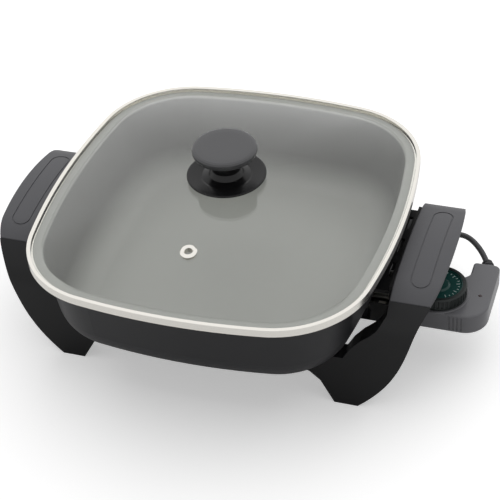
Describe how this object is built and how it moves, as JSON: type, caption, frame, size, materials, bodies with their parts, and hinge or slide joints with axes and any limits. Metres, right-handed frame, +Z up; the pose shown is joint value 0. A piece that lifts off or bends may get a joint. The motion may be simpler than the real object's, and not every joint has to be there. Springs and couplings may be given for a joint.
{
  "type": "electric skillet",
  "caption": "Electric skillet: deep rounded-square pan on side frames that form grips and legs, lift-off domed glass lid with knob and vent, plug-in heat control with dial and cord.",
  "frame": {"origin": "on the table, under the middle of the object's box with the plug-in control in place", "axes": "+Z up, -Y towards the front of the pan, +X towards the plug-in control; the pan's centre is at x = -0.01566 m"},
  "size_m": [0.4206, 0.4178, 0.1845],
  "materials": {
    "pan_coating": "satin ceramic coating, grey inside and near black outside",
    "element_steel": "dull steel sheath",
    "guard_steel": "plain sheet",
    "lid_glass": "clear tempered glass",
    "rim_steel": "polished steel",
    "seal_rubber": "translucent silicone",
    "knob_plastic": "fine matt black",
    "screw_steel": "zinc plated",
    "probe_plastic": "satin charcoal",
    "dial_plastic": "satin black",
    "dial_green": "dark green, glossy",
    "lens_plastic": "dark lens",
    "cord_rubber": "charcoal grey",
    "tie_plastic": "black",
    "blade_brass": "plain",
    "bushing_ceramic": "unglazed",
    "frame_plastic": "fine matt black",
    "grip_plastic": "fine matt charcoal",
    "bracket_steel": "black paint"
  },
  "bodies": {
    "skillet": {"pan": "pan_coating", "heating_element": "element_steel", "probe_guard": "guard_steel", "terminal_bushing_front": "bushing_ceramic", "terminal_pin_front": "screw_steel", "guard_screw_front": "screw_steel", "terminal_bushing_rear": "bushing_ceramic", "terminal_pin_rear": "screw_steel", "guard_screw_rear": "screw_steel", "left_side_frame": "frame_plastic", "left_grip": "grip_plastic", "left_grip_cover": "frame_plastic", "left_wall_bracket": "bracket_steel", "left_leg_screw_front": "screw_steel", "left_bracket_screw_front": "screw_steel", "left_grip_screw_front": "screw_steel", "left_leg_screw_rear": "screw_steel", "left_bracket_screw_rear": "screw_steel", "left_grip_screw_rear": "screw_steel", "right_side_frame": "frame_plastic", "right_grip": "grip_plastic", "right_grip_cover": "frame_plastic", "right_wall_bracket": "bracket_steel", "right_leg_screw_front": "screw_steel", "right_bracket_screw_front": "screw_steel", "right_grip_screw_front": "screw_steel", "right_leg_screw_rear": "screw_steel", "right_bracket_screw_rear": "screw_steel", "right_grip_screw_rear": "screw_steel"},
    "lid": {"lid_glass": "lid_glass", "lid_rim": "rim_steel", "knob_washer": "seal_rubber", "knob_seal": "seal_rubber", "knob_base": "knob_plastic", "knob_cap": "knob_plastic", "knob_screw": "screw_steel", "vent_eyelet": "rim_steel"},
    "control": {"probe_upper": "probe_plastic", "probe_lower": "probe_plastic", "sensor_stem": "element_steel", "thermostat": "guard_steel", "indicator_lens": "lens_plastic", "probe_screw_1": "screw_steel", "probe_screw_2": "screw_steel", "strain_relief": "cord_rubber", "contact_sleeve_front": "blade_brass", "contact_sleeve_rear": "blade_brass", "cord": "cord_rubber", "cord_coil": "cord_rubber", "cord_tie": "tie_plastic", "plug_body": "cord_rubber", "plug_blade_1": "blade_brass", "plug_blade_2": "blade_brass"},
    "dial": {"dial_ring": "dial_plastic", "dial_disc": "dial_green", "dial_shaft": "screw_steel"}
  },
  "joints": [
    {"name": "lid_lift", "type": "slide", "parent": "skillet", "child": "lid", "axis": [0, 0, 1], "range_m": [0, 0.12]},
    {"name": "control_pull", "type": "slide", "parent": "skillet", "child": "control", "axis": [1, 0, 0], "range_m": [0, 0.07]},
    {"name": "dial_turn", "type": "hinge", "parent": "control", "child": "dial", "pos_m": [0.16734, -0.004, 0.07], "axis": [0, 0, 1], "range_deg": [-300, 0]}
  ]
}
